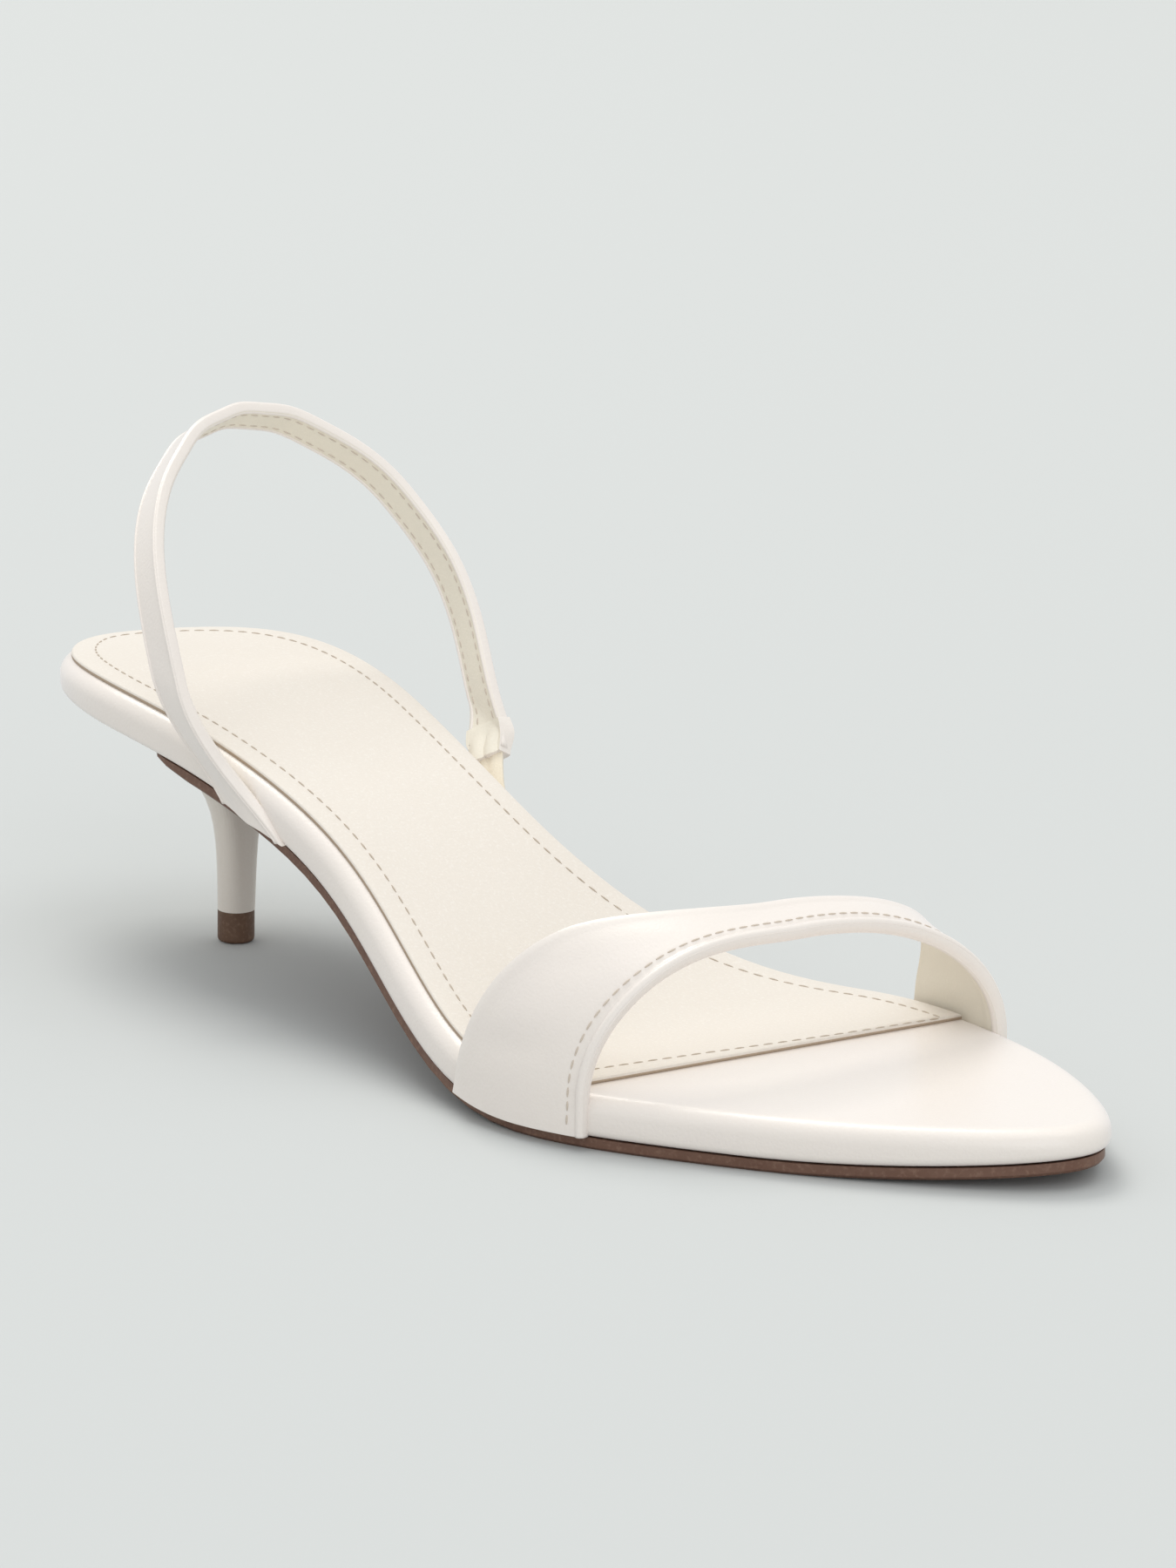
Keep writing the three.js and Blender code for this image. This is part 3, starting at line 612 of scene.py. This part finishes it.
# Vamp strap.
vampMake = {
    "thickness": 2.0, "rise": 24, "slope": 0.4, "middle": 0.745 * footLength, "shoulder": 1.5, "ends": 0.07,
    "trim": 0.5, "tuck": 0.1, "flatness": 0.72, "fullness": 0.93,
    "backEdge": {"place": -0.9, "half": 0.12, "height": 0.22},
    "groove": {"behind": 2.1, "half": 0.6, "depth": 0.35},
    "roll": {"behind": 0.8, "halfAcross": 1.05, "halfOut": 1.4}, "seamBehind": 3, "foldFade": (0.01, 0.09),
    # place over the arch, back edge and front edge as shares of the foot's length
    "edges": [
        (0, 0.606, 0.722), (0.2, 0.642, 0.735), (0.4, 0.71, 0.754), (0.5, 0.73, 0.765), (0.6, 0.739, 0.774),
        (0.8, 0.728, 0.789), (1, 0.702, 0.796),
    ],
}
overArch = [row[0] for row in vampMake["edges"]]
vampBack, vampFront = (
    curveThrough(overArch, [row[k] * footLength for row in vampMake["edges"]], flatStart=True, flatEnd=True)
    for k in (1, 2)
)


def vampSpot(u, v):
    # u from the outer end over the arch to the inner end, v from the back edge (-1) to the front edge (1)
    ends, shoulder = vampMake["ends"], vampMake["shoulder"]
    over = clamp((u - ends) / (1 - 2 * ends))
    x = mix(vampBack(over) + vampMake["trim"], vampFront(over) - vampMake["trim"], (v + 1) / 2)
    outer, inner = edgeAt(x, "outer"), edgeAt(x, "inner")
    end = min(u, 1 - u) / ends
    if end < 1:
        return solePoint(x, outer if u < 0.5 else inner, mix(thicknessAt(x) - vampMake["tuck"], shoulder, end))
    c, s = math.cos(math.pi * over), math.sin(math.pi * over)
    rise = vampMake["rise"] + vampMake["slope"] * (vampMake["middle"] - x) + shoulder
    y = (outer if c > 0 else inner) * abs(c) ** vampMake["flatness"]
    return solePoint(x, y, shoulder - rise * max(s, 0) ** vampMake["fullness"])


# Soft folds: place over the arch and across the strap, half-sizes there, slant, height
vampFolds = [
    (0.12, -0.2, 0.022, 0.6, 0.02, -0.3), (0.17, -0.1, 0.03, 0.6, 0.03, 0.16),
    (0.25, -0.3, 0.035, 0.5, 0.05, -0.15), (0.36, -0.2, 0.05, 0.6, 0.07, 0.16),
    (0.46, -0.1, 0.03, 0.6, -0.04, -0.12), (0.58, -0.2, 0.05, 0.6, -0.04, 0.14),
    (0.72, -0.2, 0.03, 0.6, -0.04, -0.14), (0.87, -0.2, 0.022, 0.6, -0.02, -0.26),
]
vampCentre = Vector((135, 4, 4))


def vampWidth(u):
    return (vampSpot(u, 1) - vampSpot(u, -1)).length


def vampFromFront(u, distance):  # place across the strap at a distance behind its front edge
    return 1 - 2 * distance / vampWidth(u)


def vampLeather(u, v):  # the strap with its turned back edge, the groove behind its rolled edge, and its folds
    spot = vampSpot(u, v)
    backEdge, groove = vampMake["backEdge"], vampMake["groove"]
    swell = backEdge["height"] * math.exp(-(((v - backEdge["place"]) / backEdge["half"]) ** 2))
    behind = (vampFromFront(u, groove["behind"]) - v) * vampWidth(u) / 2
    swell -= groove["depth"] * math.exp(-((behind / groove["half"]) ** 2))
    for foldU, foldV, wide, long, slant, height in vampFolds:
        aside = (u - foldU - slant * (v - foldV)) / wide
        swell += height * math.exp(-aside * aside - ((v - foldV) / long) ** 2)
    return spot + (spot - vampCentre).normalized() * swell * ease(min(u, 1 - u), *vampMake["foldFade"])


vamp = bandPiece("vamp_strap_leather", strapMaterials, vampLeather, 150, 26, vampMake["thickness"], 0.6)
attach(vamp, "root")
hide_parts("vamp_strap")

vampRoll = rolledEdge(
    "vamp_rolled_edge", materials["pearlLeather"], vampSpot, lambda u: vampFromFront(u, vampMake["roll"]["behind"]),
    vampMake["roll"]["halfAcross"], vampMake["roll"]["halfOut"], 200,
)
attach(vampRoll, "root")
print("vamp strap made")


# Sling strap.
slingMake = {
    "width": 7, "thickness": 1.9, "reach": 75.8, "loopWidth": 71, "tilt": math.radians(53.7), "bow": 3,
    "bandTilt": math.radians(55), "shift": -1.3, "lean": 8, "apexBack": -9.3, "apexHeight": 92.8, "lift": -2.5,
    "hug": -8, "free": {"outer": 12, "inner": 2}, "endTurn": 0.93, "pinch": 0.22, "pinchStart": 0.975,
    "fold": {"ahead": 5.5, "run": 0.09, "dip": 0.7, "place": 0.3, "half": 0.25},
    "wrap": {"above": 5.6, "below": 0.7, "spread": 1.02, "pinch": 0.3, "raised": 0.8},
    "turnedEdge": {"place": 0.86, "halfAcross": 0.5, "halfOut": 1.2}, "seamPlace": 0.56,
    # reach, outer side and its shift ahead, inner side and its shift ahead
    "table": [
        (-0.35, 0.97, 0.17, 0.6, 0.3), (-0.16, 0.98, 0.06, 0.68, 0.2), (0.03, 0.99, 0.01, 0.76, 0.125),
        (0.22, 1, 0, 0.8, 0.075), (0.38, 0.98, 0, 0.88, 0.045), (0.55, 0.93, 0, 0.9, 0.02),
        (0.68, 0.85, 0, 0.84, 0), (0.78, 0.74, 0, 0.74, 0), (0.86, 0.6, 0, 0.6, 0), (0.92, 0.45, 0, 0.45, 0),
        (0.97, 0.29, 0, 0.29, 0), (0.99, 0.13, 0, 0.13, 0),
    ],
}


def slingKnot(reach, side, ahead):
    climbed = clamp(reach)
    down = (1 - reach) * slingMake["reach"]
    bow = slingMake["bow"] * math.sin(math.pi * climbed)
    x = slingMake["apexBack"] + down * math.cos(slingMake["tilt"]) + bow * math.sin(slingMake["tilt"])
    y = slingMake["shift"] + side * slingMake["loopWidth"] / 2 + slingMake["lean"] * climbed
    z = slingMake["apexHeight"] - down * math.sin(slingMake["tilt"]) + bow * math.cos(slingMake["tilt"])
    return Vector((x + ahead * slingMake["reach"], y, z))


def slingPath():
    table = slingMake["table"]
    knots = [slingKnot(row[0], -row[1], row[2]) for row in table] + [slingKnot(1, 0, 0)]
    knots += [slingKnot(row[0], row[3], row[4]) for row in table[::-1]]
    runs = [0.0]
    for before, after in zip(knots, knots[1:]):
        runs.append(runs[-1] + (after - before).length)
    runs = [run / runs[-1] for run in runs]
    axes = [curveThrough(runs, [knot[k] for knot in knots]) for k in range(3)]
    return lambda u: Vector((axes[0](u), axes[1](u), axes[2](u)))


slingMiddle = slingPath()


def slingSpot(u, v, width):
    wide = Vector((math.sin(slingMake["bandTilt"]), 0, math.cos(slingMake["bandTilt"])))
    spot = slingMiddle(u) + wide * (v * width / 2)
    place = spot.x + last["heelSetback"]
    side = "outer" if spot.y < 0 else "inner"
    free = ease(spot.z - topAt(place), slingMake["hug"], slingMake["free"][side])
    spot.y = mix(edgeAt(place, side), spot.y, free)
    return spot


def heightOver(spot, depth):  # height above the line at this depth under the footbed's top
    x = spot.x + last["heelSetback"]
    return spot.z - topAt(x) + depth * math.hypot(1, slopeAt(x))


def crossing(v, width, inside, beyond, depth):
    # share of the sling's path where its line at v meets that depth, between a place inside and one beyond
    for turn in range(24):
        middle = (inside + beyond) / 2
        if heightOver(slingSpot(middle, v, width), depth) > 0:
            inside = middle
        else:
            beyond = middle
    return inside


slingEnd = crossing(0, slingMake["width"], 0.6, 1, -slingMake["lift"] * slingMake["endTurn"])
slingStarts = [crossing(v, slingMake["width"], 0.3, 0, last["footbedThickness"]) for v in (-1, 1)]


def slingLeather(s, v):
    # the strap itself, cut flush under the footbed at its outer end, where its front edge folds over
    fold = slingMake["fold"]
    u = mix(mix(slingStarts[0], slingStarts[1], (v + 1) / 2), slingEnd, s)
    spot = slingSpot(u, v, slingMake["width"] * (1 - slingMake["pinch"] * ease(s, slingMake["pinchStart"], 1)))
    folded = (1 - ease(s, 0, fold["run"])) ** 2
    spot.y -= fold["dip"] * folded * math.exp(-(((v - fold["place"]) / fold["half"]) ** 2))
    slope = slopeAt(spot.x + last["heelSetback"])
    return spot + Vector((1, 0, slope)).normalized() * (fold["ahead"] * folded * max(v, 0))


sling = bandPiece("sling_strap_leather", strapMaterials, slingLeather, 260, 8, slingMake["thickness"], 0.6)
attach(sling, "root")
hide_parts("sling_strap")

lengthSteps = 200
slingLength = sum(
    (slingMiddle((i + 1) / lengthSteps) - slingMiddle(i / lengthSteps)).length for i in range(lengthSteps)
)


def slingWrap(t, v):  # the leather drawn together round the end of the elastic, in waves that grow towards it
    wrap = slingMake["wrap"]
    u = slingEnd + mix(-wrap["above"], wrap["below"], t) / slingLength
    spot = slingSpot(u, v, slingMake["width"] * (wrap["spread"] - wrap["pinch"] * ease(t, 0.35, 1)))
    waves = 0.45 * math.cos(v * math.pi * 2.6 + 0.8) + 0.2 * math.sin(v * 9 + t * 5)
    spot.y += ease(t, 0.1, 0.9) * waves
    return spot


def slingEdge(name, side):
    turned = slingMake["turnedEdge"]
    place = turned["place"] * side
    return rolledEdge(
        name, materials["pearlLeather"], slingLeather, lambda s: place, turned["halfAcross"], turned["halfOut"], 260
    )


wrapThickness = slingMake["thickness"] + slingMake["wrap"]["raised"]
slingTrim = [
    slingEdge("sling_upper_turned_edge", 1),
    slingEdge("sling_lower_turned_edge", -1),
    bandPiece("sling_gathered_end", strapMaterials, slingWrap, 9, 16, wrapThickness, 0.38),
]
for trim in slingTrim:
    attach(trim, "root")
print("sling strap made")


# Elastic.
elasticMake = {
    "width": 6.0, "thickness": 1.1, "covered": 0.012, "pinch": 0.36, "pinchRun": (0.1, 0.75),
    "wave": 0.25, "waveRun": (0.2, 0.6),
}
elasticEnds = [crossing(v, elasticMake["width"], slingEnd, 1, last["footbedThickness"]) for v in (-1, 1)]


def elasticSpot(s, v):  # from inside the gathered leather, where it is narrow and wavy, to the footbed's underside
    u = mix(slingEnd - elasticMake["covered"], mix(elasticEnds[0], elasticEnds[1], (v + 1) / 2), s)
    narrow = 1 - elasticMake["pinch"] * (1 - ease(s, *elasticMake["pinchRun"]))
    spot = slingSpot(u, v, elasticMake["width"] * narrow)
    spot.y += elasticMake["wave"] * math.cos(v * math.pi * 2) * (1 - ease(s, *elasticMake["waveRun"]))
    return spot


elastic = bandPiece(
    "elastic_band", [materials["wovenElastic"]] * 3, elasticSpot, 40, 12, elasticMake["thickness"], 0.3
)
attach(elastic, "root")
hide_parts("elastic")
print("elastic made")


# Carried-over nodes.
for nodeName, finishName in (("outsole", "outsoleBrown"), ("heel", "heelCover"), ("heel_tip", "tipRubber")):
    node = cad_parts[nodeName]
    node.data.materials.clear()
    node.data.materials.append(materials[finishName])
    for face in node.data.polygons:
        face.use_smooth = True
    softer = node.modifiers.new("smooth by angle", "EDGE_SPLIT")
    softer.split_angle = math.radians(40)
print("carried-over nodes finished")


# Stitching.
stitchMake = {
    "sock": {"pitch": 2.7, "length": 1.9, "width": 0.34, "lift": 0.02},
    "strap": {"pitch": 2.3, "length": 1.7, "width": 0.36, "lift": 0.02},
}


def sockSeam(t):
    # once round the sock, from the outer front corner over the seat to the inner front corner, then across
    inset, side, stop = sockMake["seamInset"], sockMake["seamSide"], sockMake["seamStop"]
    if t < side:
        plan = sockRim(1 - t / side * stop, "outer", inset)
    elif t < 2 * side:
        plan = sockRim((t - side) / side * stop, "inner", inset)
    else:
        plan = sockRim(stop, "inner", inset).lerp(sockRim(stop, "outer", inset), (t - 2 * side) / (1 - 2 * side))
    back = sockMake["seamFront"] * ease(abs(t - 0.5) * 2, 0.86, 1)  # the front row keeps further in
    return solePoint(plan.x - back, plan.y, -sockMake["thickness"])


def soleUp(place):
    return Vector((-slopeAt(place.x + last["heelSetback"]), 0, 1)).normalized()


sockStitches = stitchRow("sock_stitches", materials["sockThread"], sockSeam, soleUp, stitchMake["sock"])
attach(sockStitches, "root")


def bandSide(spot, place, offset):
    # a line that follows a band at place(u) across it, moved out of its face
    def line(u):
        middle, across, out = bandFrame(spot, u, place(u))
        return middle + out * offset

    return line


def awayFrom(centre):
    return lambda place: (place - centre).normalized()


def vampSeamPlace(u):
    return vampFromFront(u, vampMake["seamBehind"])


slingCentre = Vector((20, 3, 55))
vampFace, slingBack, seamPlace = vampMake["thickness"] / 2, -slingMake["thickness"] / 2, slingMake["seamPlace"]
stitchRows = {
    "vamp_front_stitches": (bandSide(vampLeather, vampSeamPlace, vampFace), vampCentre),
    "sling_upper_lining_stitches": (bandSide(slingLeather, lambda s: seamPlace, slingBack), slingCentre),
    "sling_lower_lining_stitches": (bandSide(slingLeather, lambda s: -seamPlace, slingBack), slingCentre),
}
for rowName, (line, centre) in stitchRows.items():
    row = stitchRow(rowName, materials["thread"], line, awayFrom(centre), stitchMake["strap"], 0.02, 0.98)
    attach(row, "root")
print("stitching made")


# Stage.
stageMake = {"size": 20000, "color": (0.56, 0.575, 0.572), "worldColor": (0.85, 0.87, 0.87), "worldStrength": 0.9}
lightTarget = Vector((0.08, 0, 0.03))
backdrop = bpy.data.materials.new("paleBackdrop")
backdrop.use_nodes = True
backdropShader = backdrop.node_tree.nodes["Principled BSDF"]
backdropShader.inputs["Base Color"].default_value = stageMake["color"] + (1,)
backdropShader.inputs["Roughness"].default_value = 0.9
backdropShader.inputs["Specular IOR Level"].default_value = 0.1
floorMesh = bmesh.new()
bmesh.ops.create_grid(floorMesh, x_segments=1, y_segments=1, size=stageMake["size"])
floor = meshObject(floorMesh, "floor", [backdrop])

world = bpy.data.worlds.new("softStudio")
world.use_nodes = True
world.node_tree.nodes["Background"].inputs["Color"].default_value = stageMake["worldColor"] + (1,)
world.node_tree.nodes["Background"].inputs["Strength"].default_value = stageMake["worldStrength"]
bpy.context.scene.world = world

lights = {
    "key": {"at": (-1.9, 0.6, 3.2), "size": 1.7, "power": 56, "color": (1, 0.975, 0.93)},
    "top": {"at": (0.5, 0.3, 4.0), "size": 3.2, "power": 30, "color": (1, 0.99, 0.97)},
    "fill": {"at": (3.3, -1.8, 1.6), "size": 3, "power": 34, "color": (0.96, 0.97, 1)},
}
for lightName, light in lights.items():
    lamp = bpy.data.lights.new(lightName, "AREA")
    lamp.size = light["size"]
    lamp.energy = light["power"]
    lamp.color = light["color"]
    lampObject = bpy.data.objects.new(lightName, lamp)
    lampObject.location = light["at"]
    aim = lightTarget - Vector(light["at"])
    lampObject.rotation_euler = aim.to_track_quat("-Z", "Y").to_euler()
    bpy.context.scene.collection.objects.link(lampObject)

# Camera.
# The photo's viewpoint, turned to put the one shoe in the middle of the frame
cameraMake = {"azimuth": 46.18, "elevation": 14.41, "roll": 1.0, "place": (0.842, -0.7218, 0.3143), "lens": 148.3}


def addCamera():
    a, e, r = (math.radians(cameraMake[key]) for key in ("azimuth", "elevation", "roll"))
    right = Vector((math.cos(a), math.sin(a), 0))
    ahead = Vector((-math.sin(a) * math.cos(e), math.cos(a) * math.cos(e), -math.sin(e)))
    up = right.cross(ahead)
    rolledRight = right * math.cos(r) + up * math.sin(r)
    rolledUp = up * math.cos(r) - right * math.sin(r)
    data = bpy.data.cameras.new("photoCamera")
    data.lens = cameraMake["lens"]
    data.sensor_fit = "VERTICAL"
    data.sensor_height = 36
    data.sensor_width = 27
    data.clip_end = 60
    camera = bpy.data.objects.new("photoCamera", data)
    turn = Matrix((rolledRight, rolledUp, -ahead)).transposed().to_4x4()
    turn.translation = Vector(cameraMake["place"])
    camera.matrix_world = turn
    bpy.context.scene.collection.objects.link(camera)
    bpy.context.scene.camera = camera


addCamera()
bpy.context.scene.view_settings.view_transform = "Standard"
print("stage, lights and camera set")
